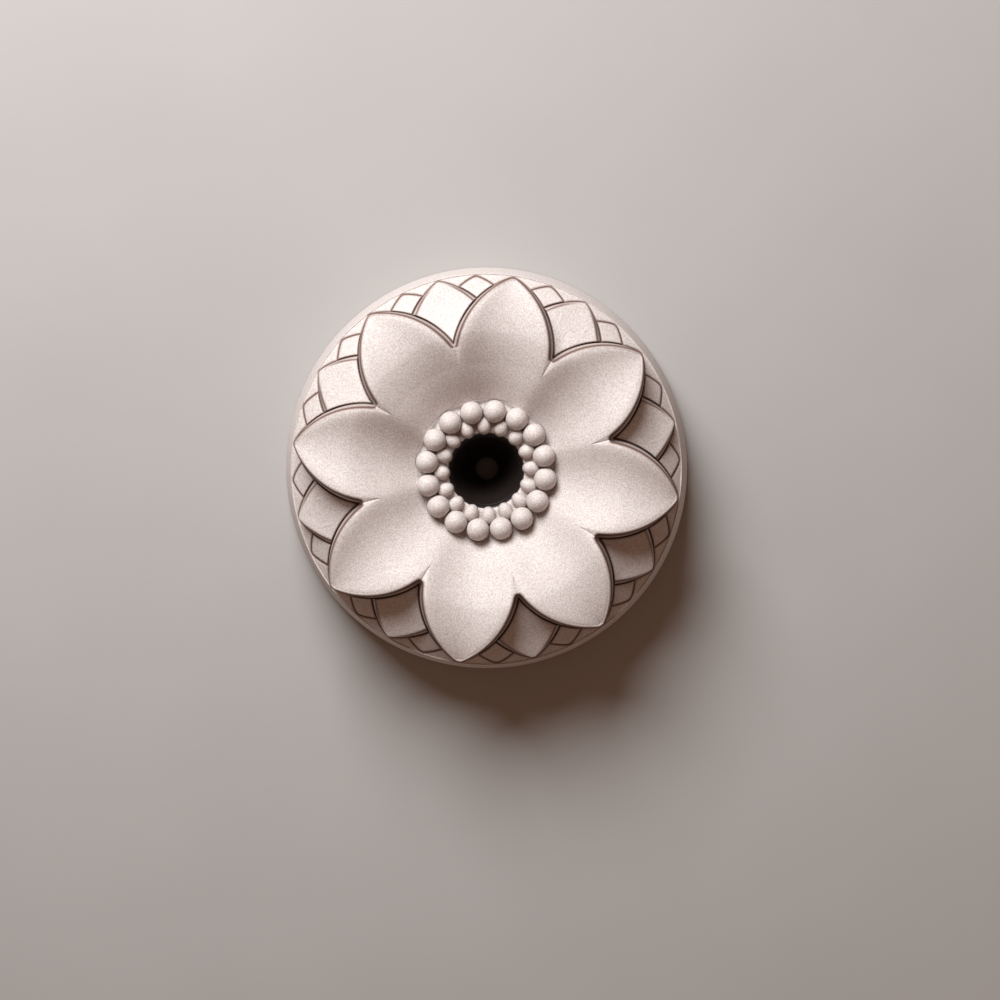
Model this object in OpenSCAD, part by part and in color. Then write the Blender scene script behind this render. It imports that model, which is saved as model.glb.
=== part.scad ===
// Petal bundt pan, standing mouth down on its rim.
// The frame has +Z up, with its origin in the middle of the rim's lower face.
// The pan is one casting. Each of its regions is a solid of its own, and the regions meet face to face.

/* [Overall] */
// Radius of the rim that the pan stands on
rim_radius = 125; // [115:1:150]
// Height of the petals' crest above the table
pan_height = 92; // [76:1:111]
// Thickness of the cast metal
cast_wall = 3.5; // [2.5:0.1:4.2]

/* [Side wall and rim] */
// How far the side wall leans in between the rim and the shoulder
wall_lean = 7.6; // [5:0.1:12]
// Depth below the crest of the petal tips, where the shoulder meets the side wall
shoulder_depth = 40; // [32:1:48]
// Width of the plain border between the petal tips and the side wall
tip_border = 0.6; // [0.3:0.1:2]
// Height of the thickened band at the rim
rim_band_height = 8; // [5:0.5:14]
// Thickness of the thickened band at the rim
rim_band_wall = 5.5; // [4.5:0.1:8]

/* [Petals] */
// Radius at which two large petals part from each other
notch_radius = 77; // [70:1:84]
// Half of the angle between a petal's two edges at its tip
tip_half_angle = 64; // [58:1:68]
// Depth below the crest of the crown's floor, at the notch between two large petals
notch_depth = 13; // [8:0.5:18]
// How strongly the crown's floor curves down to the shoulder
floor_curve = 1.4; // [1:0.1:2]
// Radius at which the large petals are highest
crest_radius = 85; // [75:1:95]
// How the petals' ridges curve down from the crest to the collar
ridge_curve = 1.6; // [1.2:0.1:2.2]
// Drop of a large petal's lip from the crest to its tip
tip_drop = 12; // [8:1:24]
// Depth of the dish across a large petal at its widest
dish_depth = 5; // [1:0.1:6]
// Distance from a large petal's outline in to its lip, at the tip
lip_setback = 4; // [2.5:0.1:6]
// Half of the angle between a large petal's two lips at its tip
lip_half_angle = 58; // [54:1:62]
// Radius at which the lips of two large petals part from each other
cusp_radius = 63; // [58:1:68]
// Run of the slope that ends the ridge between two large petals
ridge_run = 6; // [3:0.5:10]
// Height by which a medium petal stands above the crown's floor at the notch
medium_relief = 1.5; // [0.5:0.1:3]
// Height by which a medium petal's tip stands above the shoulder
medium_tip_relief = 6; // [2:0.5:9]
// Height by which a small petal stands above the crown's floor
small_relief = 1; // [0.5:0.1:1.5]

/* [Centre] */
// Radius of the tube's mouth, at the collar
tube_mouth_radius = 21.5; // [18:0.5:26]
// Width of the collar that carries the beads, from the mouth to the petals
collar_width = 20.5; // [19:0.5:25]
// Depth below the crest of the collar's outer edge
collar_depth = 22; // [16:0.5:26]
// Fall of the collar from its outer edge to the mouth
collar_fall = 3; // [1:0.5:5]
// Radius of the hole at the narrow end of the tube
tube_end_radius = 7; // [6:0.5:10]
// Height of the tube's narrow end above the table
tube_end_height = 6; // [2:0.5:15]
// Length of the straight land at the tube's narrow end
tube_land = 10; // [6:0.5:16]
// Thickness of the land at the tube's narrow end
tube_land_wall = 5; // [4.5:0.1:7]
// Gap between two neighbouring outer beads, and from them to the petals
bead_gap = 0.8; // [0.4:0.1:2]
// Height of an outer bead's middle above the collar
outer_bead_lift = 2.4; // [0:0.1:4]
// Diameter of an inner bead
inner_bead_diameter = 7.8; // [5:0.1:8]
// Height of an inner bead's middle above the collar
inner_bead_lift = 1.6; // [0:0.1:3]

/* [Hidden] */

$fn = 96;
petal_count = 8;
sector = 360 / petal_count;
half_sector = sector / 2;
bead_count = 2 * petal_count;
champagne = "#D9C6BB";
champagne_pale = "#E4D5CC";
nonstick_dark = "#3A302C";

// Steps along one side of a petal's outline, a multiple of four so that every crossing is a step
outline_steps = 8;
step_angle = half_sector / outline_steps;
// Rows of a large petal between the collar and the notch
inner_rows = 6;
// Columns across a large petal's dish
dish_columns = 7;
// Half angle of the dish where two large petals still share a ridge
ridge_half_angle = half_sector - 1;

shoulder_radius = rim_radius - wall_lean;
tip_radius = shoulder_radius - tip_border;
lip_tip_radius = tip_radius - lip_setback;
shoulder_height = pan_height - shoulder_depth;
notch_floor_height = pan_height - notch_depth;
wall_foot_radius = rim_radius - wall_lean * rim_band_height / shoulder_height;

collar_radius = tube_mouth_radius + collar_width;
collar_height = pan_height - collar_depth;
mouth_height = collar_height - collar_fall;
tube_top_height = mouth_height - cast_wall;
tube_foot_height = tube_end_height + tube_land;
tube_slope = (tube_mouth_radius - tube_end_radius) / (mouth_height - tube_foot_height);
// The outer beads fill their circle, and reach out to one gap from the petals
bead_step = sin(180 / bead_count);
outer_bead_reach = collar_radius - bead_gap;
outer_bead_diameter = (2 * bead_step * outer_bead_reach - bead_gap) / (1 + bead_step);
outer_bead_circle = outer_bead_reach - outer_bead_diameter / 2;
// The inner beads reach in to the mouth of the tube
inner_bead_circle = tube_mouth_radius + inner_bead_diameter / 2;

// Circle through a tip at [tip_r, 0], leaving it at half_angle from the petal's middle,
// and through a point given by its radius and angle: [centre x, centre y, radius]
function edge_arc(tip_r, half_angle, point_r, point_a) =
    let (chord = [point_r * cos(point_a) - tip_r, point_r * sin(point_a)])
    let (towards = [sin(half_angle), cos(half_angle)])
    let (arc_r = -(chord * chord) / (2 * (chord * towards)))
    [tip_r - arc_r * towards[0], -arc_r * towards[1], arc_r];

// Radius at which the arc crosses a ray from the pan's middle
function arc_radius(arc, angle) =
    let (along = arc[0] * cos(angle) + arc[1] * sin(angle))
    along + sqrt(along * along - arc[0] * arc[0] - arc[1] * arc[1] + arc[2] * arc[2]);

// Angle at which the arc crosses a circle round the pan's middle
function arc_angle(arc, radius) =
    let (reach = norm([arc[0], arc[1]]))
    let (cosine = (radius * radius + reach * reach - arc[2] * arc[2]) / (2 * radius * reach))
    acos(min(1, cosine)) + atan2(arc[1], arc[0]);

large_arc = edge_arc(tip_radius, tip_half_angle, notch_radius, half_sector);
lip_arc = edge_arc(lip_tip_radius, lip_half_angle, cusp_radius, half_sector);
// A small petal's outline meets the large and medium outlines a quarter of the way round
small_meet_angle = half_sector / 4;
small_arc = edge_arc(tip_radius, tip_half_angle, arc_radius(large_arc, small_meet_angle), small_meet_angle);

// Height of the crown's floor, which is also the shoulder between the petal tips
function floor_height(r) =
    let (share = max(0, (r - notch_radius) / (tip_radius - notch_radius)))
    notch_floor_height - (notch_floor_height - shoulder_height) * pow(share, floor_curve);

// Height of a medium petal, which slopes evenly from the notch to its tip
function medium_height(r) =
    let (inner = notch_floor_height + medium_relief)
    let (outer = shoulder_height + medium_tip_relief)
    inner + (outer - inner) * (r - notch_radius) / (tip_radius - notch_radius);

// Height of a small petal, which follows the crown's floor
function small_height(r) = floor_height(r) + small_relief;

// Height of a large petal's lip
function lip_height(r) =
    let (inner_share = (crest_radius - r) / (crest_radius - collar_radius))
    let (outer_share = (r - crest_radius) / (lip_tip_radius - crest_radius))
    r < crest_radius
        ? pan_height - (pan_height - collar_height - 1) * pow(inner_share, ridge_curve)
        : pan_height - tip_drop * pow(outer_share, 2);

// Height of a large petal's border: the shared ridge, its sloping end, then the crown's floor
function border_height(r) =
    let (share = max(0, min(1, (r - notch_radius + ridge_run) / ridge_run)))
    r >= notch_radius ? floor_height(r) : lip_height(r) * (1 - share) + notch_floor_height * share;

// Half of the dish's angle, for the upper face or for the lower one inside the metal
function dish_half_angle(r, inset) =
    let (tip_r = lip_tip_radius - inset)
    r >= tip_r ? 0 : min(ridge_half_angle, arc_angle(lip_arc, min(r + inset, lip_tip_radius)));

// Height across the dish, with angle measured from the petal's middle
function dish_height(r, angle, half_angle) =
    let (half_width = r * sin(half_angle))
    let (across = r * sin(angle))
    let (widest = cusp_radius * sin(half_sector))
    lip_height(r) - dish_depth * (half_width * half_width - across * across) / (widest * widest);

function polar(r, angle) = [r * cos(angle), r * sin(angle)];

// Radii along a large petal's border, from the collar to the notch and then to the tip
border_radii = [
    for (i = [0 : inner_rows - 1]) collar_radius + (notch_radius - collar_radius) * i / inner_rows,
    for (i = [0 : outline_steps]) arc_radius(large_arc, half_sector - i * step_angle)
];
border_angles = [
    for (i = [0 : inner_rows - 1]) half_sector,
    for (i = [0 : outline_steps]) half_sector - i * step_angle
];
row_count = len(border_radii);
column_count = dish_columns + 2;

// Radius of the dish's row that goes with a border radius
function dish_radius(border_r, inset) =
    let (share = (border_r - collar_radius) / (tip_radius - collar_radius))
    collar_radius + share * (lip_tip_radius - inset - collar_radius);

// One row of a large petal's upper face, or of its lower face when inset and down are the wall
function petal_row(i, inset, down) =
    let (border_r = border_radii[i])
    let (border_a = border_angles[i])
    let (r = dish_radius(border_r, inset))
    let (half_angle = i == row_count - 1 ? 0 : dish_half_angle(r, inset))
    let (edge = border_height(border_r) - down)
    [
        [each polar(border_r, -border_a), edge],
        for (j = [0 : dish_columns - 1])
            let (angle = half_angle * (2 * j / (dish_columns - 1) - 1))
            [each polar(r, angle), dish_height(r, angle, half_angle) - down],
        [each polar(border_r, border_a), edge]
    ];

// Number of a point in a large petal. The last row holds only the outline's tip and the dish's tip.
function point_number(layer, i, j) =
    let (at_border = j == 0 || j == column_count - 1)
    let (column = i < row_count - 1 ? j : (at_border ? 0 : 1))
    (layer * row_count + i) * column_count + column;

// Two triangles for a four-sided patch, without any that has no width
function patch(a, b, c, d) = [
    for (face = [[a, b, c], [a, c, d]])
        if (face[0] != face[1] && face[1] != face[2] && face[2] != face[0]) face
];

// A patch of the petal's upper face, layer 0, or of its lower face, layer 1
function face_patch(layer, i, j) =
    let (a = point_number(layer, i, j))
    let (b = point_number(layer, i, j + 1))
    let (c = point_number(layer, i + 1, j + 1))
    let (d = point_number(layer, i + 1, j))
    layer == 0 ? patch(a, b, c, d) : patch(a, d, c, b);

// An upright patch between a step of the upper face's edge and the same step of the lower one's
function edge_patch(i, j, next_i, next_j) = patch(
    point_number(0, i, j), point_number(0, next_i, next_j),
    point_number(1, next_i, next_j), point_number(1, i, j)
);

petal_faces = [
    for (layer = [0, 1])
        for (i = [0 : row_count - 2])
            for (j = [0 : column_count - 2])
                each face_patch(layer, i, j),
    for (i = [0 : row_count - 2])
        each edge_patch(i, 0, i + 1, 0),
    for (i = [0 : row_count - 2])
        each edge_patch(i + 1, column_count - 1, i, column_count - 1),
    for (j = [0 : column_count - 2])
        each edge_patch(0, j + 1, 0, j)
];

module large_petal(number) {
    upper = [for (i = [0 : row_count - 1]) each petal_row(i, 0, 0)];
    lower = [for (i = [0 : row_count - 1]) each petal_row(i, cast_wall, cast_wall)];
    color(champagne)
        rotate([0, 0, (number - 1) * sector])
            polyhedron(concat(upper, lower), petal_faces);
}

// Outline of a medium petal, where it shows between two large ones
medium_side = [
    for (i = [0 : outline_steps / 2 - 1])
        polar(arc_radius(large_arc, half_sector - i * step_angle), i * step_angle),
    for (i = [outline_steps / 2 : outline_steps])
        polar(arc_radius(large_arc, half_sector - i * step_angle), half_sector - i * step_angle)
];

// Outline of a small petal, where it shows between a large and a medium one
small_side = [
    for (i = [outline_steps / 2 : 3 * outline_steps / 4 - 1])
        polar(arc_radius(large_arc, half_sector - i * step_angle), i * step_angle - half_sector / 2),
    for (i = [3 * outline_steps / 4 : outline_steps])
        let (angle = half_sector - i * step_angle)
        polar(arc_radius(small_arc, angle), angle)
];

// Closed outline made of one side, which starts on the petal's middle line, and its mirror image
function both_sides(side) = concat(
    side,
    [for (i = [len(side) - 2 : -1 : 1]) [side[i][0], -side[i][1]]]
);

// Ring of the crown between two radii, under the medium or the small petals' upper face. Its lower face
// keeps the wall's thickness, and stays low enough at the tips to meet the side wall.
module crown_ring(inner_r, outer_r, medium) {
    steps = 10;
    radii = [for (i = [0 : steps]) inner_r + (outer_r - inner_r) * i / steps];
    upper = [for (r = radii) [r, medium ? medium_height(r) : small_height(r)]];
    lower = [for (i = [steps : -1 : 0]) [radii[i], min(upper[i][1], small_height(radii[i])) - cast_wall]];
    rotate_extrude()
        polygon(concat(upper, lower));
}

// A petal cut from the ring by its outline
module crown_petal(side, medium) {
    intersection() {
        crown_ring(side[0][0] - cast_wall, tip_radius + cast_wall, medium);
        linear_extrude(pan_height)
            polygon(both_sides(side));
    }
}

module medium_petal(number) {
    color(champagne)
        rotate([0, 0, (number - 0.5) * sector])
            crown_petal(medium_side, true);
}

module small_petal(number) {
    color(champagne_pale)
        rotate([0, 0, (number - 0.5) * half_sector])
            crown_petal(small_side, false);
}

// Radius of the scalloped line that all the petals' ends make, which repeats at every large or medium petal
function scallop_radius(step) =
    let (from_tip = step % outline_steps)
    let (angle = min(from_tip, outline_steps - from_tip) * step_angle)
    angle <= small_meet_angle ? arc_radius(large_arc, angle) : arc_radius(small_arc, half_sector / 2 - angle);

module side_wall() {
    steps = 6;
    inner_radius = notch_radius + (tip_radius - notch_radius) / 2;
    radii = [for (i = [0 : steps]) shoulder_radius - (shoulder_radius - inner_radius) * i / steps];
    upper = [for (r = radii) [r, floor_height(r)]];
    lower = [for (i = [steps : -1 : 0]) [radii[i] - cast_wall, floor_height(radii[i]) - cast_wall]];
    color(champagne_pale)
        difference() {
            rotate_extrude()
                polygon(concat(
                    [[wall_foot_radius - cast_wall, rim_band_height], [wall_foot_radius, rim_band_height]],
                    upper, lower
                ));
            linear_extrude(pan_height)
                polygon([
                    for (step = [0 : bead_count * outline_steps - 1])
                        polar(scallop_radius(step), step * step_angle)
                ]);
        }
}

module rim_band() {
    color(champagne)
        rotate_extrude()
            polygon([
                [rim_radius - rim_band_wall, 0],
                [rim_radius, 0],
                [wall_foot_radius, rim_band_height],
                [rim_radius - rim_band_wall, rim_band_height]
            ]);
}

// Height of the collar's upper face
function collar_top(r) = mouth_height + collar_fall * (r - tube_mouth_radius) / collar_width;

// Radius of the tube's bore above its straight land
function bore_radius(z) = tube_end_radius + tube_slope * (z - tube_foot_height);

// The collar, whose outer edge has the same straight steps as the petals' inner ends
module bead_collar() {
    petal_edge = concat(
        [-half_sector],
        [for (j = [0 : dish_columns - 1]) ridge_half_angle * (2 * j / (dish_columns - 1) - 1)]
    );
    edge = [for (k = [0 : petal_count - 1]) for (angle = petal_edge) polar(collar_radius, k * sector + angle)];
    color(champagne)
        intersection() {
            rotate_extrude()
                polygon([
                    [bore_radius(tube_top_height), tube_top_height],
                    [bore_radius(tube_top_height) + cast_wall, tube_top_height],
                    [collar_radius, collar_height - cast_wall],
                    [collar_radius, collar_height],
                    [tube_mouth_radius, mouth_height]
                ]);
            linear_extrude(pan_height)
                polygon(edge);
        }
}

// A ring of round beads, each cut off where it sits on the collar
module bead_ring(circle_radius, diameter, lift, first_angle) {
    difference() {
        for (k = [0 : bead_count - 1])
            rotate([0, 0, first_angle + k * half_sector])
                translate([circle_radius, 0, collar_top(circle_radius) + lift])
                    sphere(d = diameter);
        rotate_extrude()
            polygon([
                [0, 0],
                [collar_radius + 1, 0],
                [collar_radius + 1, collar_top(collar_radius + 1)],
                [0, collar_top(0)]
            ]);
    }
}

module outer_beads() {
    color(champagne_pale)
        bead_ring(outer_bead_circle, outer_bead_diameter, outer_bead_lift, 0);
}

module inner_beads() {
    color(champagne_pale)
        bead_ring(inner_bead_circle, inner_bead_diameter, inner_bead_lift, half_sector / 2);
}

module centre_tube() {
    color(nonstick_dark)
        rotate_extrude()
            polygon([
                [bore_radius(tube_foot_height), tube_foot_height],
                [bore_radius(tube_foot_height) + cast_wall, tube_foot_height],
                [bore_radius(tube_top_height) + cast_wall, tube_top_height],
                [bore_radius(tube_top_height), tube_top_height]
            ]);
}

// The straight land that ends the tube, with its true round bore
module tube_tip() {
    color(nonstick_dark)
        translate([0, 0, tube_end_height])
            difference() {
                cylinder(r = tube_end_radius + tube_land_wall, h = tube_land);
                translate([0, 0, -1])
                    cylinder(r = tube_end_radius, h = tube_land + 2);
            }
}

rim_band();
side_wall();
large_petal(1);  // large_petal_1
large_petal(2);  // large_petal_2
large_petal(3);  // large_petal_3
large_petal(4);  // large_petal_4
large_petal(5);  // large_petal_5
large_petal(6);  // large_petal_6
large_petal(7);  // large_petal_7
large_petal(8);  // large_petal_8
medium_petal(1);  // medium_petal_1
medium_petal(2);  // medium_petal_2
medium_petal(3);  // medium_petal_3
medium_petal(4);  // medium_petal_4
medium_petal(5);  // medium_petal_5
medium_petal(6);  // medium_petal_6
medium_petal(7);  // medium_petal_7
medium_petal(8);  // medium_petal_8
small_petal(1);  // small_petal_1
small_petal(2);  // small_petal_2
small_petal(3);  // small_petal_3
small_petal(4);  // small_petal_4
small_petal(5);  // small_petal_5
small_petal(6);  // small_petal_6
small_petal(7);  // small_petal_7
small_petal(8);  // small_petal_8
small_petal(9);  // small_petal_9
small_petal(10);  // small_petal_10
small_petal(11);  // small_petal_11
small_petal(12);  // small_petal_12
small_petal(13);  // small_petal_13
small_petal(14);  // small_petal_14
small_petal(15);  // small_petal_15
small_petal(16);  // small_petal_16
bead_collar();
outer_beads();
inner_beads();
centre_tube();
tube_tip();
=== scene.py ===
import math

import bpy
from mathutils import Matrix, Vector


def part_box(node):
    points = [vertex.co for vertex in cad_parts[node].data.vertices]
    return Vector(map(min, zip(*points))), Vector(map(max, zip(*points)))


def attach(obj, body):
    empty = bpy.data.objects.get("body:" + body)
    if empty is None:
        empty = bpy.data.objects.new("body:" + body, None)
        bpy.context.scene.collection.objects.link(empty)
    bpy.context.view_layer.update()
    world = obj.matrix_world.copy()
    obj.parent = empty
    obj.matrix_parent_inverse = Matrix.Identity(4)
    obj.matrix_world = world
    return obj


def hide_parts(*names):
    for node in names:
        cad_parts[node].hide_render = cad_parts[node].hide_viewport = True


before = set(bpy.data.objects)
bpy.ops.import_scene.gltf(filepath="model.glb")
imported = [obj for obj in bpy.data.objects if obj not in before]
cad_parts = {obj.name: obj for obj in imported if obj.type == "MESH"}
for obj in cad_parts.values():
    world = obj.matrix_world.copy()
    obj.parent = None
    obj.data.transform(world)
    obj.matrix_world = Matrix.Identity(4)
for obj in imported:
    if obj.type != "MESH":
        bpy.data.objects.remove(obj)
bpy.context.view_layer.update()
print("frame loaded:", len(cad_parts), "nodes")

mm = 0.001  # the sizes below are in millimetres, the scene is in metres


def boxInMm(node):
    low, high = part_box(node)
    return low / mm, high / mm


# Sizes that every piece shares. Angles are in radians from here on.
petalHigh = boxInMm("large_petal_1")[1]
pan = {
    "petals": 8,
    "crest": petalHigh.z,  # height of the lips at their highest
    "tip": petalHigh.x,  # radius of every petal's tip
    "wall": 3.5,  # thickness of the cast metal
    "notch": 77.0,  # radius where two large petals part
    "notchDepth": 13.0,  # crown's floor below the crest, at the notch
    "shoulderDepth": 40.0,  # crown's floor below the crest, at the tips
    "floorCurve": 1.4,
    "tipHalfAngle": math.radians(64),
    "tipRound": math.radians(0.8),  # how early an outline starts to turn over at its tip
    "grooveDepth": 0.8,  # engraved line round every petal
    "grooveWidth": 0.75,
    "shadeWidth": 0.72,  # width of the painted shade in the line
}
sector = 2 * math.pi / pan["petals"]
halfSector = sector / 2
quarterSector = sector / 4


def ease(x):
    x = min(1.0, max(0.0, x))
    return x * x * (3 - 2 * x)


def blendTo(a, b, share):
    return a + (b - a) * share


def polar(radius, angle, height):
    return (radius * math.cos(angle), radius * math.sin(angle), height)


def lineDepth(gap, width=None):
    # Depth of an engraved line, from 1 on the line to 0 beside it
    return math.exp(-((gap / (width or pan["grooveWidth"])) ** 2))


def edgeArc(tip, halfAngle, radius, angle):
    # Circle through a petal's tip and one more point: centre x, centre y, radius
    chordX, chordY = radius * math.cos(angle) - tip, radius * math.sin(angle)
    towardsX, towardsY = math.sin(halfAngle), math.cos(halfAngle)
    size = -(chordX**2 + chordY**2) / (2 * (chordX * towardsX + chordY * towardsY))
    return tip - size * towardsX, -size * towardsY, size


def sharpRadius(arc, angle):
    along = arc[0] * math.cos(angle) + arc[1] * math.sin(angle)
    return along + math.sqrt(max(0.0, along**2 - arc[0] ** 2 - arc[1] ** 2 + arc[2] ** 2))


def arcRadius(arc, angle):
    # Radius of a petal's outline, with a rounded tip
    return sharpRadius(arc, math.hypot(angle, pan["tipRound"]))


def arcAngle(arc, radius):
    reach = math.hypot(arc[0], arc[1])
    cosine = (radius**2 + reach**2 - arc[2] ** 2) / (2 * radius * reach)
    return math.acos(min(1.0, cosine)) + math.atan2(arc[1], arc[0])


def arcGap(arc, radius, angle):
    # How far a point lies outside the outline, in plan
    edge = arcRadius(arc, abs(angle))
    step = 0.002
    lean = (arcRadius(arc, abs(angle) + step) - edge) / (step * edge)
    return (radius - edge) / math.hypot(1, lean)


largeArc = edgeArc(pan["tip"], pan["tipHalfAngle"], pan["notch"], halfSector)
smallMeet = quarterSector / 2
smallArc = edgeArc(pan["tip"], pan["tipHalfAngle"], arcRadius(largeArc, smallMeet), smallMeet)


def floorHeight(radius):
    # The crown's floor, which falls from the notches to the shoulder
    share = max(0.0, (radius - pan["notch"]) / (pan["tip"] - pan["notch"]))
    top, drop = pan["crest"] - pan["notchDepth"], pan["shoulderDepth"] - pan["notchDepth"]
    return top - drop * share ** pan["floorCurve"]


# Mesh building: a skin is a grid of rows of points, each with the weight of the painted shade in the lines.
# It is made once and turned for each copy.
class Skin:
    def __init__(self):
        self.points, self.creases, self.known = [], [], {}
        self.faces, self.inside, self.flat = [], [], []

    def number(self, point, crease=0.0):
        key = tuple(round(c, 4) for c in point)
        if key not in self.known:
            self.known[key] = len(self.points)
            self.points.append(point)
            self.creases.append(crease)
        return self.known[key]

    def face(self, corners, inside=False, flat=False):
        kept = [c for k, c in enumerate(corners) if c != corners[k - 1]]
        if len(set(kept)) > 2:
            self.faces.append(kept)
            self.inside.append(inside)
            self.flat.append(flat)

    def grid(self, rows, inside=False, flat=False):
        # Rows of (x, y, z, painted shade weight). Faces look up where rows run outwards and columns run
        # anticlockwise.
        numbers = [[self.number(p[:3], p[3] if len(p) > 3 else 0.0) for p in row] for row in rows]
        for a, b in zip(numbers, numbers[1:]):
            for j in range(len(a) - 1):
                self.face([a[j], b[j], b[j + 1], a[j + 1]], inside, flat)


def lowered(rows, drop):
    return [[(p[0], p[1], p[2] - drop, 0.0) for p in row] for row in rows]


def shellOf(rows, drop):
    # A closed shell: the rows, the same rows lowered, and flat edges between them
    skin = Skin()
    under = lowered(rows, drop)
    skin.grid(rows)
    skin.grid([row[::-1] for row in under], inside=True)
    for top, low in ((rows[0], under[0]), (rows[-1][::-1], under[-1][::-1])):
        skin.grid([low, top], flat=True)
    for side, turn in ((0, True), (-1, False)):
        top, low = [row[side] for row in rows], [row[side] for row in under]
        skin.grid([low[::-1], top[::-1]] if turn else [low, top], flat=True)
    return skin


def revolved(skin, profile, steps, inside=False):
    # Turns a profile of (radius, height) round the pan's axis, with its front on the left of the run
    turn = 2 * math.pi / steps
    skin.grid([[polar(r, k * turn, z) for k in range(steps + 1)] for r, z in profile], inside)


def addPiece(name, skin, nodes, slot, angle=0.0):
    # The slot's first material is for the outside and its second, where there is one, for the inside
    mesh = bpy.data.meshes.new(name)
    turn = Matrix.Rotation(angle, 3, "Z")
    mesh.from_pydata([turn @ Vector(p) * mm for p in skin.points], [], skin.faces)
    mesh.attributes.new("crease", "FLOAT", "POINT").data.foreach_set("value", skin.creases)
    for material in coats[slot][: 1 + any(skin.inside)]:
        mesh.materials.append(material)
    mesh.polygons.foreach_set("material_index", [int(i) for i in skin.inside])
    mesh.polygons.foreach_set("use_smooth", [not f for f in skin.flat])
    mesh.update()
    piece = bpy.data.objects.new(name, mesh)
    bpy.context.scene.collection.objects.link(piece)
    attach(piece, "root")
    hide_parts(*nodes)
    return piece


# Materials
def linear(hexColour):
    channels = [int(hexColour[k : k + 2], 16) / 255 for k in (1, 3, 5)]
    return [c / 12.92 if c <= 0.04045 else ((c + 0.055) / 1.055) ** 2.4 for c in channels] + [1.0]


def addNode(tree, kind, settings=None, links=None):
    node = tree.nodes.new(kind)
    for name, value in (settings or {}).items():
        if isinstance(name, int) or name in node.inputs:
            node.inputs[name].default_value = value
        else:
            setattr(node, name, value)
    for name, source in (links or {}).items():
        tree.links.new(source, node.inputs[name])
    return node


def newMaterial(name):
    material = bpy.data.materials.new(name)
    material.use_nodes = True
    tree = material.node_tree
    tree.nodes.clear()
    return material, tree


# Champagne bakeware coat: a metallic silicone coat sprayed on blasted cast aluminium.
# It gives a soft satin glow with a fine sandy sparkle, and painted shade, a darker brown, in the engraved
# lines.
coat = {
    "colour": "#D2CBC8",
    "speckDark": "#B5A8A2",
    # painted shade: the dark brown laid into the engraved lines and round the beads
    "lineShadeColour": "#5E3E30",
    "roughness": 0.68,
    "roughRange": (-0.05, 0.06),
    "metallic": 0.05,
    "grainMm": 0.85,  # the real grain is about 0.3 mm, drawn coarser so that it shows
    "patchMm": 22.0,  # slow drift of the spray
    "bumpMm": 0.12,
    "bumpStrength": 0.6,
}


def champagneCoat():
    material, tree = newMaterial("champagneCoat")
    place = addNode(tree, "ShaderNodeTexCoord").outputs["Object"]
    grain = addNode(
        tree, "ShaderNodeTexNoise",
        {"Scale": 1 / (coat["grainMm"] * mm), "Detail": 3.0, "Roughness": 0.6}, {"Vector": place},
    )
    patches = addNode(
        tree, "ShaderNodeTexNoise",
        {"Scale": 1 / (coat["patchMm"] * mm), "Detail": 4.0, "Roughness": 0.55}, {"Vector": place},
    )
    speck = addNode(
        tree, "ShaderNodeMapRange",
        {"From Min": 0.36, "From Max": 0.62, "To Min": 1.0, "To Max": 0.0}, {"Value": grain.outputs["Fac"]},
    )
    base = addNode(
        tree, "ShaderNodeMix",
        {"data_type": "RGBA", 6: linear(coat["colour"]), 7: linear(coat["speckDark"])},
        {0: speck.outputs["Result"]},
    )
    # Painted shade: the mesh's weight mixes the coat towards the dark brown in the engraved lines and round
    # the beads' feet
    crease = addNode(tree, "ShaderNodeAttribute", {"attribute_name": "crease"})
    lined = addNode(
        tree, "ShaderNodeMix",
        {"data_type": "RGBA", 7: linear(coat["lineShadeColour"])},
        {0: crease.outputs["Fac"], 6: base.outputs[2]},
    )
    smoothest, roughest = (coat["roughness"] + change for change in coat["roughRange"])
    rough = addNode(
        tree, "ShaderNodeMapRange",
        {"From Min": 0.3, "From Max": 0.7, "To Min": smoothest, "To Max": roughest},
        {"Value": patches.outputs["Fac"]},
    )
    bump = addNode(
        tree, "ShaderNodeBump",
        {"Strength": coat["bumpStrength"], "Distance": coat["bumpMm"] * mm},
        {"Height": grain.outputs["Fac"]},
    )
    surface = {
        "Base Color": lined.outputs[2],
        "Roughness": rough.outputs["Result"],
        "Normal": bump.outputs["Normal"],
    }
    shader = addNode(tree, "ShaderNodeBsdfPrincipled", {"Metallic": coat["metallic"]}, surface)
    addNode(tree, "ShaderNodeOutputMaterial", {}, {"Surface": shader.outputs["BSDF"]})
    return material


# Reinforced PTFE non-stick coat, sprayed and baked: near black brown, satin, with a faint orange peel.
lining = {
    "colour": "#17110F",
    "speck": "#241B18",
    "roughness": 0.42,
    "roughRange": (-0.06, 0.08),
    "peelMm": 1.6,
    "bumpMm": 0.05,
    "bumpStrength": 0.5,
}


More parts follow.
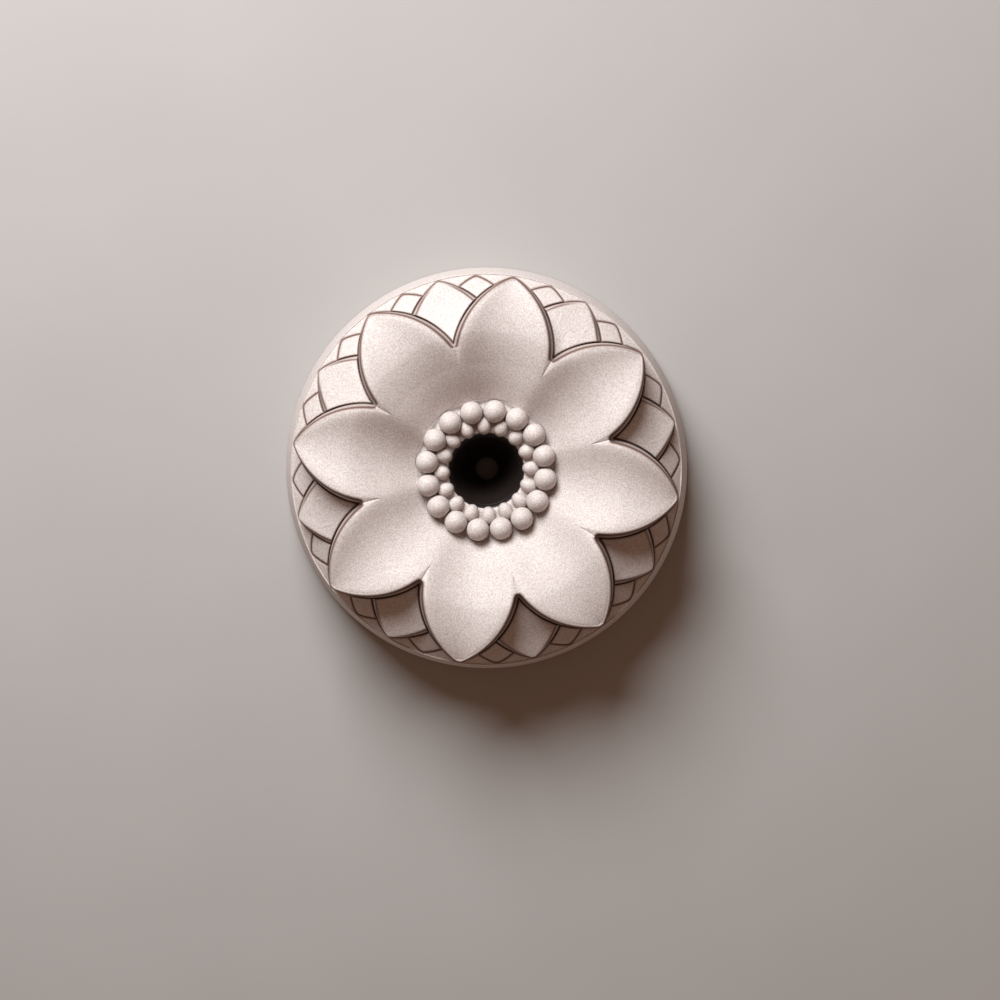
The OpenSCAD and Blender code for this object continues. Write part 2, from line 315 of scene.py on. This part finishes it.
def darkNonstick():
    material, tree = newMaterial("darkNonstick")
    place = addNode(tree, "ShaderNodeTexCoord").outputs["Object"]
    peel = addNode(
        tree, "ShaderNodeTexNoise",
        {"Scale": 1 / (lining["peelMm"] * mm), "Detail": 2.0, "Roughness": 0.5}, {"Vector": place},
    )
    base = addNode(
        tree, "ShaderNodeMix",
        {"data_type": "RGBA", 6: linear(lining["colour"]), 7: linear(lining["speck"])},
        {0: peel.outputs["Fac"]},
    )
    smoothest, roughest = (lining["roughness"] + change for change in lining["roughRange"])
    rough = addNode(
        tree, "ShaderNodeMapRange",
        {"From Min": 0.3, "From Max": 0.7, "To Min": smoothest, "To Max": roughest},
        {"Value": peel.outputs["Fac"]},
    )
    bump = addNode(
        tree, "ShaderNodeBump",
        {"Strength": lining["bumpStrength"], "Distance": lining["bumpMm"] * mm},
        {"Height": peel.outputs["Fac"]},
    )
    surface = {
        "Base Color": base.outputs[2],
        "Roughness": rough.outputs["Result"],
        "Normal": bump.outputs["Normal"],
    }
    shader = addNode(tree, "ShaderNodeBsdfPrincipled", {"Metallic": 0.0}, surface)
    addNode(tree, "ShaderNodeOutputMaterial", {}, {"Surface": shader.outputs["BSDF"]})
    return material


champagne, nonstick = champagneCoat(), darkNonstick()
coats = {"champagne_coat": (champagne, nonstick), "dark_nonstick": (nonstick,)}
print("materials made")


# Large petals: a dished blade with a rounded lip, a line under the lip, and a steep drafted side
largePetal = {
    "innerRows": 60,  # rows from the collar to the notch
    "outlineRows": 72,  # rows from the notch to the tip
    "dishColumns": 36,
    "edgeColumns": 22,
    "crestRadius": 82.0,
    "tipDrop": 11.0,  # fall of the lip from the crest to its tip
    "dishDepth": 5.0,
    "dishEdge": 5,  # how late the dish turns over into the lip
    "innerEdge": 2.6,  # the same at the collar, where the lips are broad and low
    "innerEdgeReach": 10.0,  # how much further out than half the dish's width that broad shape ends
    "ridgeCurve": 1.6,  # how steeply the lips fall from the crest to the collar
    "collarShare": 0.95,  # share of the dish's depth that is left at the collar
    "narrowing": 1.4,  # how fast the dish gets shallower where the petal narrows
    "collarStep": 0.4,  # lips' height above the collar where they end
    "lipTip": 4.0,  # lip's distance in from the petal's tip
    "lipHalfAngle": math.radians(58),
    "cusp": 63.0,  # radius where the lips of two petals part
    "ridgeHalfAngle": halfSector,  # lips of two petals share one ridge inside the cusp
    "ridgeEnd": 0.78,  # share of the way from the cusp to the notch where the ridge drops off
    "footShare": 0.5,  # where the line under the lip lies, from the lip to the outline
    "lipRound": 0.5,  # depth of the lip's round edge, as a share of its width
    "lipTurn": 2.2,  # how late that edge turns down
    "footLine": 0.55,  # depth of the line under the lip
    "footLineWidth": 0.8,
    "footShade": 1.0,  # width of the painted shade in it
    "outlineShade": 0.85,  # strength of the painted shade in the petal's outline
    "tipShade": 0.9,  # and of the painted shade where the two lines merge at the tip
    "mergeAngle": math.radians(5),  # where they start to merge towards the tip
}
collarHigh = boxInMm("bead_collar")[1]
collarRadius, collarHeight = collarHigh.x, collarHigh.z
lipTip = pan["tip"] - largePetal["lipTip"]
lipArc = edgeArc(lipTip, largePetal["lipHalfAngle"], largePetal["cusp"], halfSector)


def lipHeight(radius):
    crest = largePetal["crestRadius"]
    if radius < crest:
        inwards = (crest - radius) / (crest - collarRadius)
        fall = pan["crest"] - collarHeight - largePetal["collarStep"]
        return pan["crest"] - fall * inwards ** largePetal["ridgeCurve"]
    return pan["crest"] - largePetal["tipDrop"] * ((radius - crest) / (lipTip - crest)) ** 2


def dishHeight(radius, halfAngle, share):
    # Height across the dish, with share from -1 to 1 between the two lips
    widest = largePetal["cusp"] * math.sin(halfSector)
    width = radius * math.sin(halfAngle)
    outwards = radius - collarRadius
    n = blendTo(
        largePetal["innerEdge"], largePetal["dishEdge"],
        ease(outwards / (widest + largePetal["innerEdgeReach"])),
    )
    rise = ((n + 2) * share**2 - 2 * abs(share) ** (n + 2)) / n
    fade = blendTo(largePetal["collarShare"], 1, ease(outwards / (largePetal["cusp"] - collarRadius)))
    depth = largePetal["dishDepth"] * fade * (width / widest) ** largePetal["narrowing"]
    return lipHeight(radius) - depth * (1 - rise)


def edgeDrop(share, width, drop, merging, lineWeight):
    # Fall from the lip at share 0 to the outline at share 1, and the painted shade of the engraved lines,
    # which merge into one at the petal's tip and fade out on the ridge inside the notch
    foot = largePetal["footShare"]
    lip = largePetal["lipRound"] * width * foot
    toFoot, toOutline = (share - foot) * width, (1 - share) * width
    if share < foot:
        fall = lip * (1 - math.sqrt(1 - min(1, share / foot) ** largePetal["lipTurn"]))
    else:
        fall = lip + (drop - lip) * (share - foot) / (1 - foot)
    fall += lineWeight * largePetal["footLine"] * lineDepth(toFoot, largePetal["footLineWidth"])
    fall += pan["grooveDepth"] * lineDepth(toOutline)
    # painted shade along the line under the lip, along the outline and where they merge at the tip
    footShade = lineDepth(toFoot, largePetal["footShade"])
    outlineShade = largePetal["outlineShade"] * lineDepth(toOutline, pan["shadeWidth"])
    tipShade = largePetal["tipShade"] * merging * ease((share - foot) / 0.1)
    return fall, lineWeight * max(footShade, outlineShade, tipShade)


def largeRow(borderRadius, borderAngle, ridgeShare, notchWidth):
    # One row across a large petal, from a point of its outline to the mirrored point
    innerShare = (borderRadius - collarRadius) / (pan["tip"] - collarRadius)
    radius = blendTo(collarRadius, lipTip, innerShare)
    halfAngle = 0.0 if borderAngle < 1e-9 else min(largePetal["ridgeHalfAngle"], arcAngle(lipArc, radius))
    lipX, lipY, lipZ = polar(radius, halfAngle, lipHeight(radius))
    outX, outY, _ = polar(borderRadius, borderAngle, 0)
    if ridgeShare < 1:
        width, drop = notchWidth, lipZ - floorHeight(pan["notch"])
    else:
        width, drop = math.hypot(outX - lipX, outY - lipY), lipZ - floorHeight(borderRadius)
    merging = 1 - ease((borderAngle - largePetal["mergeAngle"] / 2) / largePetal["mergeAngle"])
    pastLip = ridgeShare / largePetal["footShare"]  # above 1 where the ridge has parted into two lips
    lineWeight = ease((pastLip - 0.9) / 0.5)
    edge = []
    for j in range(1, largePetal["edgeColumns"] + 1):
        share = j / largePetal["edgeColumns"]
        levelled = share * (1.5 - 0.5 * share**2)  # ends level, so that the valley on the ridge is soft
        across = blendTo(levelled, share, min(1.0, pastLip)) * ridgeShare
        fall, crease = edgeDrop(across, width, drop, merging, lineWeight)
        edge.append((blendTo(lipX, outX, share), blendTo(lipY, outY, share), lipZ - fall, crease))
    dish = []
    for j in range(largePetal["dishColumns"] + 1):
        share = math.sin(math.pi * (j / largePetal["dishColumns"] - 0.5))  # closer together near the lips
        dish.append((*polar(radius, halfAngle * share, dishHeight(radius, halfAngle, share)), 0.0))
    return [(x, -y, z, c) for x, y, z, c in edge[::-1]] + dish + edge


def largePetalRows():
    cusp, notch = largePetal["cusp"], pan["notch"]
    notchRow = largeRow(notch, halfSector, 1.0, 0.0)
    lipPoint, outPoint = notchRow[-1 - largePetal["edgeColumns"]], notchRow[-1]
    notchWidth = math.hypot(outPoint[0] - lipPoint[0], outPoint[1] - lipPoint[1])
    rows = []
    for i in range(largePetal["innerRows"]):
        radius = blendTo(collarRadius, notch, i / largePetal["innerRows"])
        onRidge = max(0.0, (radius - cusp) / (notch - cusp))
        end, foot = largePetal["ridgeEnd"], largePetal["footShare"]
        if onRidge < end:
            ridgeShare = foot * onRidge / end
        else:
            ridgeShare = blendTo(foot, 1, (onRidge - end) / (1 - end))
        rows.append(largeRow(radius, halfSector, ridgeShare, notchWidth))
    for i in range(largePetal["outlineRows"] + 1):
        angle = halfSector * (1 - i / largePetal["outlineRows"])
        rows.append(largeRow(arcRadius(largeArc, angle), angle, 1.0, notchWidth))
    return rows


largeSkin = shellOf(largePetalRows(), pan["wall"])
for n in range(pan["petals"]):
    addPiece(f"largePetal{n + 1}", largeSkin, [f"large_petal_{n + 1}"], "champagne_coat", n * sector)
print("large petals made:", len(largeSkin.faces), "faces each")


# Medium and small petals: kites of the crown's floor that stand a little proud, with a line all round
mediumPetal = {
    "columns": 72,
    "rows": 56,
    "crowding": 0.8,  # how much closer the rows lie near both edges
    "spacing": halfSector,  # angle from its middle to the next large petal's middle
    "arc": largeArc,
    "innerRelief": 1.5,  # height above the floor at the notch
    "tipRelief": 10.5,  # and at the tip
    "edgeRound": 0.8,
    "band": 1.5,  # width of the sloping band along the outline, which runs out at the tip
    "bandLine": 0.5,  # strength of the line along that band
    "bandLineWidth": 0.6,
    # strength of the painted shade along that band's line
    "bandShade": 0.9,
    "dish": 0.5,
    "dishInset": 1.0,
    "dishReach": 9.0,
}
smallPetal = {
    "columns": 36,
    "rows": 30,
    "crowding": 0.8,
    "spacing": quarterSector,
    "arc": smallArc,
    "relief": 1.0,  # height above the floor, the same all over
    "edgeRound": 0.9,
}


def kiteEdges(petal, radius, angle):
    # Distance in from the large petals on both sides, and in from the petal's own outline
    left = arcGap(largeArc, radius, angle - petal["spacing"])
    right = arcGap(largeArc, radius, angle + petal["spacing"])
    return min(left, right), -arcGap(petal["arc"], radius, angle)


def mediumPoint(petal, radius, angle):
    inner, outer = kiteEdges(petal, radius, angle)
    start = arcRadius(largeArc, petal["spacing"] / 2)
    along = min(1.0, max(0.0, (radius - start) / (pan["tip"] - start)))
    whole = (radius - pan["notch"]) / (pan["tip"] - pan["notch"])
    band = petal["band"] * (1 - along)
    innerTop = floorHeight(pan["notch"]) + petal["innerRelief"]
    top = blendTo(innerTop, floorHeight(pan["tip"]) + petal["tipRelief"], whole)
    rise = min(1.0, max(0.0, outer) / (band + petal["edgeRound"])) * ease(inner / petal["edgeRound"])
    hollow = petal["dish"] * ease((min(inner, outer - band) - petal["dishInset"]) / petal["dishReach"])
    foot = outer - band - petal["edgeRound"]
    bandGroove = petal["bandLine"] * lineDepth(foot, petal["bandLineWidth"]) * ease(band)
    # painted shade in the engraved lines round the petal and along its band
    bandShade = petal["bandShade"] * lineDepth(foot, pan["shadeWidth"]) * ease(band)
    groove = max(lineDepth(inner), lineDepth(outer), bandGroove)
    shadeWeight = max(lineDepth(inner, pan["shadeWidth"]), lineDepth(outer, pan["shadeWidth"]), bandShade)
    height = blendTo(floorHeight(radius), top, rise) - hollow - pan["grooveDepth"] * groove
    return (*polar(radius, angle, height), shadeWeight)


def smallPoint(petal, radius, angle):
    inner, outer = kiteEdges(petal, radius, angle)
    rise = min(1.0, max(0.0, outer) / petal["edgeRound"]) * ease(inner / petal["edgeRound"])
    groove = max(lineDepth(inner), lineDepth(outer))
    # painted shade in the engraved line round the petal
    shadeWeight = max(lineDepth(inner, pan["shadeWidth"]), lineDepth(outer, pan["shadeWidth"]))
    height = floorHeight(radius) + petal["relief"] * rise - pan["grooveDepth"] * groove
    return (*polar(radius, angle, height), shadeWeight)


def kiteRows(petal, pointOn):
    halfWidth = petal["spacing"] / 2
    rows = []
    for i in range(petal["rows"] + 1):
        share = i / petal["rows"]
        share -= petal["crowding"] * math.sin(2 * math.pi * share) / (2 * math.pi)
        row = []
        for j in range(petal["columns"] + 1):
            angle = halfWidth * (2 * j / petal["columns"] - 1)
            start = arcRadius(largeArc, petal["spacing"] - abs(angle))
            end = arcRadius(petal["arc"], abs(angle))
            row.append(pointOn(petal, blendTo(start, end, share), angle))
        rows.append(row)
    return rows


mediumSkin = shellOf(kiteRows(mediumPetal, mediumPoint), pan["wall"])
smallSkin = shellOf(kiteRows(smallPetal, smallPoint), pan["wall"])
for n in range(pan["petals"]):
    angle = (n + 0.5) * sector
    addPiece(f"mediumPetal{n + 1}", mediumSkin, [f"medium_petal_{n + 1}"], "champagne_coat", angle)
for n in range(2 * pan["petals"]):
    angle = (n + 0.5) * halfSector
    addPiece(f"smallPetal{n + 1}", smallSkin, [f"small_petal_{n + 1}"], "champagne_coat", angle)
print("medium and small petals made")


# Side wall: a plain border round the tips, a rounded shoulder and a drafted wall down to the rim
rimHigh = boxInMm("rim_band")[1]
sideWall = {
    "columnsPerPetal": 36,  # for each of the sixteen large and medium petals
    "borderRows": 10,
    "borderCrowding": 1.6,  # rows lie closer together near the tips' outlines
    "shoulderRadius": 117.4,
    "shoulderRound": 2.0,
    "wallCurve": 1.4,  # the wall stands steep at the rim and leans in more towards the shoulder
    "shoulderSteps": 8,
    "wallRows": 14,
    "innerBase": 1.0,  # thickness of the wall behind the tips
    "innerFall": 1.0,  # how far below the border's underside the inner wall starts
    "innerBlend": 14.0,  # height over which the wall gets its whole thickness
}
rimRadius, rimHeight = rimHigh.x, rimHigh.z
shoulderHeight = pan["crest"] - pan["shoulderDepth"]
wallSpread = rimRadius - sideWall["shoulderRadius"]
wallLean = sideWall["wallCurve"] * wallSpread / shoulderHeight  # at the shoulder


def wallRadius(height):
    return rimRadius - wallSpread * (height / shoulderHeight) ** sideWall["wallCurve"]


def foldAngle(angle):
    # Angle from the nearest large or medium petal's middle
    return abs((angle + quarterSector) % halfSector - quarterSector)


def scallopRadius(angle):
    folded = foldAngle(angle)
    if folded <= smallMeet:
        return arcRadius(largeArc, folded)
    return arcRadius(smallArc, quarterSector - folded)


def shoulderCurve():
    # Points of the rounded shoulder, from the border to the wall
    size, corner = sideWall["shoulderRound"], sideWall["shoulderRadius"]
    step = 0.5
    slope = (floorHeight(corner) - floorHeight(corner - step)) / step
    startTurn, endTurn = math.atan(slope), -(math.pi / 2 - math.atan(wallLean))
    reach = size * math.tan((startTurn - endTurn) / 2)
    startX, startZ = corner - reach * math.cos(startTurn), shoulderHeight - reach * math.sin(startTurn)
    centreX, centreZ = startX + size * math.sin(startTurn), startZ - size * math.cos(startTurn)
    points = []
    for k in range(sideWall["shoulderSteps"] + 1):
        turn = blendTo(startTurn, endTurn, k / sideWall["shoulderSteps"])
        points.append((centreX - size * math.sin(turn), centreZ + size * math.cos(turn)))
    return points


def sideWallSkin():
    shoulder = shoulderCurve()
    firstRadius, lastHeight = shoulder[0][0], shoulder[-1][1]
    steps = 2 * pan["petals"] * sideWall["columnsPerPetal"]
    outer, inner = [], []
    angles = [k * 2 * math.pi / steps for k in range(steps + 1)]
    for i in range(sideWall["borderRows"] + 1):
        share = (i / sideWall["borderRows"]) ** sideWall["borderCrowding"]
        row = []
        for angle in angles:
            folded = foldAngle(angle)
            radius = blendTo(scallopRadius(angle), firstRadius, share)
            gap = min(arcGap(largeArc, radius, folded), arcGap(smallArc, radius, quarterSector - folded))
            gap = max(0.0, gap)
            height = floorHeight(radius) - pan["grooveDepth"] * lineDepth(gap)
            # painted shade in the tips' outlines
            row.append((*polar(radius, angle, height), lineDepth(gap, pan["shadeWidth"])))
        outer.append(row)
    for radius, height in shoulder[1:]:
        outer.append([(*polar(radius, angle, height), 0.0) for angle in angles])
    for i in range(1, sideWall["wallRows"] + 1):
        height = blendTo(lastHeight, rimHeight, i / sideWall["wallRows"])
        outer.append([(*polar(wallRadius(height), angle, height), 0.0) for angle in angles])
    innerTop = shoulderHeight - pan["wall"] - sideWall["innerFall"]
    for i in range(sideWall["wallRows"] + 1):
        height = blendTo(rimHeight, innerTop, i / sideWall["wallRows"])
        share = ease((innerTop - height) / sideWall["innerBlend"])
        thickness = blendTo(sideWall["innerBase"], pan["wall"], share)
        inner.append([(*polar(wallRadius(height) - thickness, angle, height), 0.0) for angle in angles])
    inner.append([(p[0], p[1], p[2] - pan["wall"], 0.0) for p in outer[0]])
    skin = Skin()
    skin.grid(outer)
    skin.grid(inner, inside=True)
    skin.grid([outer[-1], inner[0]], flat=True)
    skin.grid([inner[-1], outer[0]], flat=True)
    return skin


def ringSkin(loop, steps, insideFrom=0, insideTo=0):
    # A closed ring from a loop of (radius, height) points. The stretch between the two numbers is lined.
    skin = Skin()
    for k, (a, b) in enumerate(zip(loop, loop[1:] + loop[:1])):
        revolved(skin, [a, b], steps, inside=insideFrom <= k < insideTo)
    return skin


def roundCorner(before, corner, after, size, steps=4):
    # Corner of a profile rounded by an arc that touches both its sides
    corner, before, after = Vector(corner), Vector(before), Vector(after)
    toBefore, toAfter = (before - corner).normalized(), (after - corner).normalized()
    half = toBefore.angle(toAfter) / 2
    start, end = corner + toBefore * size / math.tan(half), corner + toAfter * size / math.tan(half)
    centre = corner + (toBefore + toAfter).normalized() * size / math.sin(half)
    points = []
    for k in range(steps + 1):
        away = blendTo(start - centre, end - centre, k / steps).normalized()
        points.append(tuple(centre + away * size))
    return points


rimBand = {"wall": 5.5, "footRound": 1.2, "innerRound": 0.9, "steps": 288}


def rimBandSkin():
    inner = rimRadius - rimBand["wall"]
    corners = [(inner, rimHeight), (wallRadius(rimHeight), rimHeight), (rimRadius, 0.0), (inner, 0.0)]
    foot = roundCorner(corners[1], corners[2], corners[3], rimBand["footRound"])
    heel = roundCorner(corners[2], corners[3], corners[0], rimBand["innerRound"])
    loop = [corners[0], corners[1], *foot, *heel]
    return ringSkin(loop, rimBand["steps"], 1 + len(foot) + 1, len(loop))


addPiece("sideWall", sideWallSkin(), ["side_wall"], "champagne_coat")
addPiece("rimBand", rimBandSkin(), ["rim_band"], "champagne_coat")
print("side wall and rim made")


# Collar and beads: sixteen large beads between the petals, sixteen small ones round the mouth
tubeHigh = boxInMm("centre_tube")[1]
tipLow, tipHigh = boxInMm("tube_tip")
centre = {
    "mouth": 21.5,  # radius of the tube's mouth
    "mouthHeight": collarHeight - 3.0,
    "mouthRound": 3.6,
    "boreEnd": 7.0,
    "steps": 288,
    "collarRows": 30,
    "tuck": 0.5,  # how far the collar's edge runs in under the petals
    "tuckDrop": 0.2,
    "neckReach": 2.5,  # how far the underside spreads from the tube before it turns up to the petals
    "neckRise": 0.6,
    "filletHeight": 1.8,  # metal that runs up round each bead's foot
    "filletReach": 1.3,
    "filletShade": 0.4,  # brown that stays between the beads
    "filletInset": 3.0,  # painted shade round the beads' feet and between them, in step with the fillet's height
    "filletBlend": 4.0,
}
outerBead = {
    "count": 16,
    "size": 13.2,
    "circle": 35.2,  # radius of the ring of beads
    "firstAngle": 0.0,
    "lift": 3.0,  # height of the widest part above the collar
    "tallness": 1.12,  # height of the dome over its half width
    "stretch": 1.0,  # length towards the mouth over the width
}
innerBead = {
    "count": 16,
    "size": 8.0,
    "circle": 26.6,
    "firstAngle": quarterSector,
    "lift": 1.8,
    "tallness": 1.05,
    "stretch": 1.22,
}
beadMesh = {"around": 36, "down": 14, "flare": 0.35, "flareShare": 0.4, "sink": 0.6}


def collarTop(radius):
    share = (radius - centre["mouth"]) / (collarRadius - centre["mouth"])
    return blendTo(centre["mouthHeight"], collarHeight, share)


def beadFillet(radius, angle):
    # Metal that gathers between the beads where the mould's ball cutter ran out
    height = 0.0
    for bead in (outerBead, innerBead):
        step = 2 * math.pi / bead["count"]
        off = (angle - bead["firstAngle"] + step / 2) % step - step / 2
        away = math.hypot(radius * math.cos(off) - bead["circle"], radius * math.sin(off))
        gap = max(0.0, away - bead["size"] / 2)
        height = max(height, centre["filletHeight"] * math.exp(-gap / centre["filletReach"]))
    return height


def petalEndHeight(angle):
    # Height of the large petals' inner ends, which the collar meets
    folded = (angle + halfSector) % sector - halfSector
    halfAngle = largePetal["ridgeHalfAngle"]
    return dishHeight(collarRadius, halfAngle, max(-1.0, min(1.0, folded / halfAngle)))


def collarPoint(radius, angle):
    # The petals' slope runs on inwards under the large beads, down to the collar's floor
    slope = lipHeight(collarRadius + 1) - lipHeight(collarRadius)
    onSlope = petalEndHeight(angle) - slope * (collarRadius - radius)
    height = max(onSlope, centre["mouthHeight"])
    inwards = collarRadius - centre["filletInset"] - radius
    fillet = ease(inwards / centre["filletBlend"]) * beadFillet(radius, angle)
    # Painted shade: darker round the beads' feet, in step with the fillet's height
    shadeWeight = centre["filletShade"] * fillet / centre["filletHeight"]
    return (*polar(radius, angle, height + fillet), shadeWeight)


def boreRadius(height):
    share = (height - tipHigh.z) / (centre["mouthHeight"] - tipHigh.z)
    return blendTo(centre["boreEnd"], centre["mouth"], share)


def collarSkin():
    angles = [k * 2 * math.pi / centre["steps"] for k in range(centre["steps"] + 1)]
    foot = tubeHigh.z
    mouth = [boreRadius(foot), foot], [centre["mouth"], centre["mouthHeight"]], [collarRadius, collarHeight]
    curve = roundCorner(*mouth, centre["mouthRound"], 6)
    rows = [[(*polar(boreRadius(foot), angle, foot), 0.0) for angle in angles]]
    rows += [[(*polar(r, angle, z), 0.0) for angle in angles] for r, z in curve[:-1]]
    start = curve[-1][0]
    for i in range(centre["collarRows"] + 1):
        radius = blendTo(start, collarRadius, i / centre["collarRows"])
        rows.append([collarPoint(radius, angle) for angle in angles])
    tucked, tuckDrop = collarRadius + centre["tuck"], centre["tuckDrop"]
    rows.append([(*polar(tucked, angle, petalEndHeight(angle) - tuckDrop), 0.0) for angle in angles])
    back = boreRadius(foot) + pan["wall"]
    neck, neckHeight = back + centre["neckReach"], foot + centre["neckRise"]
    low = [
        [(*polar(tucked, angle, petalEndHeight(angle) - pan["wall"]), 0.0) for angle in angles],
        [(*polar(neck, angle, neckHeight), 0.0) for angle in angles],
        [(*polar(back, angle, foot), 0.0) for angle in angles],
    ]
    lined = len(curve) - 1  # the lining runs up the mouth to here
    skin = Skin()
    skin.grid(rows[:lined], inside=True)
    skin.grid(rows[lined - 1:])
    skin.grid(low, inside=True)
    skin.grid([rows[-1], low[0]], flat=True)
    skin.grid([low[-1], rows[0]], flat=True)
    return skin


def beadSkin(bead):
    # Each bead is a dome down to its widest, then a drafted foot sunk into the collar
    skin = Skin()
    step = 2 * math.pi / bead["count"]
    for k in range(bead["count"]):
        angle = bead["firstAngle"] + k * step
        middleX, middleY, _ = polar(bead["circle"], angle, 0)
        size = bead["size"] / 2
        base = collarTop(bead["circle"])
        middle = base + bead["lift"]
        profile = []
        for i in range(beadMesh["down"] + 1):
            turn = math.pi / 2 * i / beadMesh["down"]
            profile.append((size * math.sin(turn), middle + size * bead["tallness"] * math.cos(turn)))
        profile.append((size + beadMesh["flare"] * beadMesh["flareShare"], base + beadMesh["sink"]))
        profile.append((size + beadMesh["flare"], base - beadMesh["sink"]))
        profile.append((0.0, base - beadMesh["sink"]))
        rows = []
        for radius, height in profile:
            row = []
            for j in range(beadMesh["around"] + 1):
                around = 2 * math.pi * j / beadMesh["around"]
                out, along = radius * math.cos(around) * bead["stretch"], radius * math.sin(around)
                x = middleX + out * math.cos(angle) - along * math.sin(angle)
                y = middleY + out * math.sin(angle) + along * math.cos(angle)
                row.append((x, y, height, 0.0))
            rows.append(row)
        skin.grid(rows[:-1])
        skin.grid(rows[-2:], flat=True)
    return skin


tube = {"steps": 144, "rows": 24, "boreEdge": 0.7, "landEdge": 1.5, "footEdge": 1.2}


def tubeSkin():
    heights = [blendTo(tipHigh.z, tubeHigh.z, k / tube["rows"]) for k in range(tube["rows"] + 1)]
    bore = [(boreRadius(z), z) for z in heights]
    back = [(boreRadius(z) + pan["wall"], z) for z in heights[::-1]]
    return ringSkin(bore + back, tube["steps"])


def tubeTipSkin():
    foot, top, bore, outside = tipLow.z, tipHigh.z, centre["boreEnd"], tipHigh.x
    corners = [(bore, foot), (bore, top), (outside, top), (outside, foot)]
    loop = [
        *roundCorner(corners[3], corners[0], corners[1], tube["boreEdge"]),
        corners[1],
        *roundCorner(corners[1], corners[2], corners[3], tube["landEdge"]),
        *roundCorner(corners[2], corners[3], corners[0], tube["footEdge"]),
    ]
    return ringSkin(loop, tube["steps"])


addPiece("beadCollar", collarSkin(), ["bead_collar"], "champagne_coat")
addPiece("outerBeads", beadSkin(outerBead), ["outer_beads"], "champagne_coat")
addPiece("innerBeads", beadSkin(innerBead), ["inner_beads"], "champagne_coat")
addPiece("centreTube", tubeSkin(), ["centre_tube"], "dark_nonstick")
addPiece("tubeTip", tubeTipSkin(), ["tube_tip"], "dark_nonstick")
print("collar, beads and tube made")


# Studio: a plain pale floor, one large soft light and a faint warm fill
viewTurn = math.radians(8.18)  # turn of the view's right-hand direction from +X
studio = {
    "floor": "#A8A5A2",
    "floorMottle": "#A19E9B",
    "floorHalf": 3.0,  # half the floor's side, in metres
    "lightAzimuth": math.radians(112) + viewTurn,
    "lightElevation": math.radians(44),
    "lightDistance": 1.6,
    "lightSize": 0.95,
    "lightPower": 43.0,
    "lightColour": (0.965, 0.985, 1.0),
    "fillColour": (0.60, 0.35, 0.24),
    "fillStrength": 0.34,
}


def onFloor(right, up):
    # A place on the floor given along the view's own directions
    x = right * math.cos(viewTurn) - up * math.sin(viewTurn)
    y = right * math.sin(viewTurn) + up * math.cos(viewTurn)
    return Vector((x * mm, y * mm, 0.0))


def paleFloor():
    material, tree = newMaterial("paleFloor")
    place = addNode(tree, "ShaderNodeTexCoord").outputs["Object"]
    mottle = addNode(tree, "ShaderNodeTexNoise", {"Scale": 9.0, "Detail": 5.0}, {"Vector": place})
    tone = addNode(
        tree, "ShaderNodeMix",
        {"data_type": "RGBA", 6: linear(studio["floor"]), 7: linear(studio["floorMottle"])},
        {0: mottle.outputs["Fac"]},
    )
    shader = addNode(tree, "ShaderNodeBsdfPrincipled", {"Roughness": 0.85}, {"Base Color": tone.outputs[2]})
    addNode(tree, "ShaderNodeOutputMaterial", {}, {"Surface": shader.outputs["BSDF"]})
    half = studio["floorHalf"]
    mesh = bpy.data.meshes.new("floor")
    corners = [(-half, -half, 0), (half, -half, 0), (half, half, 0), (-half, half, 0)]
    mesh.from_pydata(corners, [], [(0, 1, 2, 3)])
    mesh.materials.append(material)
    floor = bpy.data.objects.new("floor", mesh)
    bpy.context.scene.collection.objects.link(floor)


def softLight():
    light = bpy.data.lights.new("softLight", "AREA")
    light.shape, light.size, light.energy = "DISK", studio["lightSize"], studio["lightPower"]
    light.color = studio["lightColour"]
    azimuth, elevation = studio["lightAzimuth"], studio["lightElevation"]
    towards = Vector(polar(math.cos(elevation), azimuth, math.sin(elevation)))
    lamp = bpy.data.objects.new("softLight", light)
    lamp.location = towards * studio["lightDistance"]
    lamp.rotation_euler = towards.to_track_quat("Z", "Y").to_euler()
    bpy.context.scene.collection.objects.link(lamp)
    world = bpy.data.worlds.new("studio")
    world.use_nodes = True
    background = world.node_tree.nodes["Background"]
    background.inputs["Color"].default_value = (*studio["fillColour"], 1.0)
    background.inputs["Strength"].default_value = studio["fillStrength"]
    bpy.context.scene.world = world


# Camera: almost straight above, and framed so that the pan sits just left of and above the middle
camera = {
    "height": 1300.0,
    "standsOver": (7.0, 27.0),
    "looksAt": (8.2, -19.9),
    "frameWidth": 625.0,  # what the frame takes in, across the point looked at
    "sensor": 36.0,
}


def addCamera():
    data = bpy.data.cameras.new("camera")
    place = onFloor(*camera["standsOver"]) + Vector((0, 0, camera["height"] * mm))
    target = onFloor(*camera["looksAt"])
    distance = (target - place).length
    data.sensor_width = camera["sensor"]
    data.lens = camera["sensor"] * distance / (camera["frameWidth"] * mm)
    forward = (target - place).normalized()
    up = Vector((-math.sin(viewTurn), math.cos(viewTurn), 0.0))
    right = forward.cross(up).normalized()
    turn = Matrix((right, right.cross(forward), -forward)).transposed()
    body = bpy.data.objects.new("camera", data)
    body.matrix_world = Matrix.Translation(place) @ turn.to_4x4()
    bpy.context.scene.collection.objects.link(body)
    bpy.context.scene.camera = body


paleFloor()
softLight()
addCamera()
bpy.context.scene.view_settings.view_transform = "Standard"
print("studio made")
